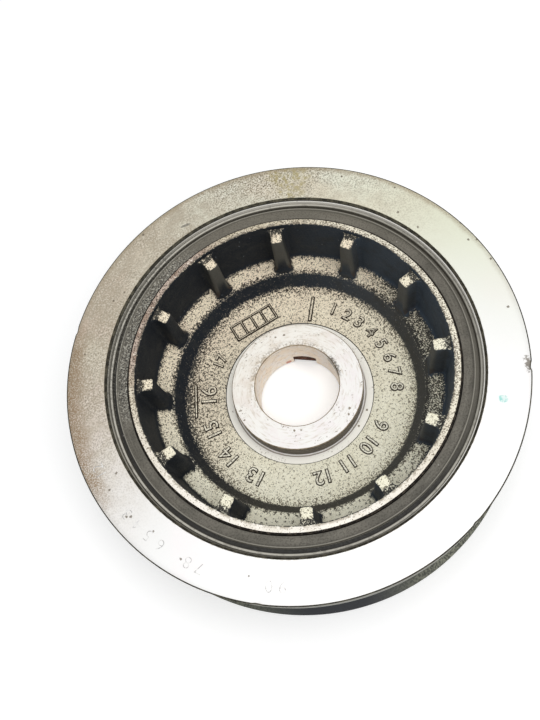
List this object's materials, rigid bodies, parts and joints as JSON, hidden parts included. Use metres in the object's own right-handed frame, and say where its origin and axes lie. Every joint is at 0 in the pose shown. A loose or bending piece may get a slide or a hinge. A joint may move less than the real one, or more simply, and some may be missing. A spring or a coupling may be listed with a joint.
{
  "type": "harmonic balancer",
  "caption": "Crankshaft pulley with torsional damper: grooved inertia ring bonded by rubber to a cast hub whose open cup has radial ribs, a raised boss and a central bore.",
  "frame": {"origin": "centre of the crank bore's axis in the plane of the ring's front face, which is the face it lies on", "axes": "+Z along the crankshaft axis towards the engine, out of the open cup; the key slot in the bore lies at 62 degrees from +X"},
  "size_m": [0.153, 0.153, 0.0395],
  "materials": {
    "hub_iron": "rough cast, with machined boss, rim and spot face",
    "rubber": "moulded, matt, dusty",
    "ring_iron": "turned, with stains and light rust"
  },
  "bodies": {
    "root": {"hub": "hub_iron", "damper_rubber": "rubber", "pulley_ring": "ring_iron"}
  },
  "joints": []
}
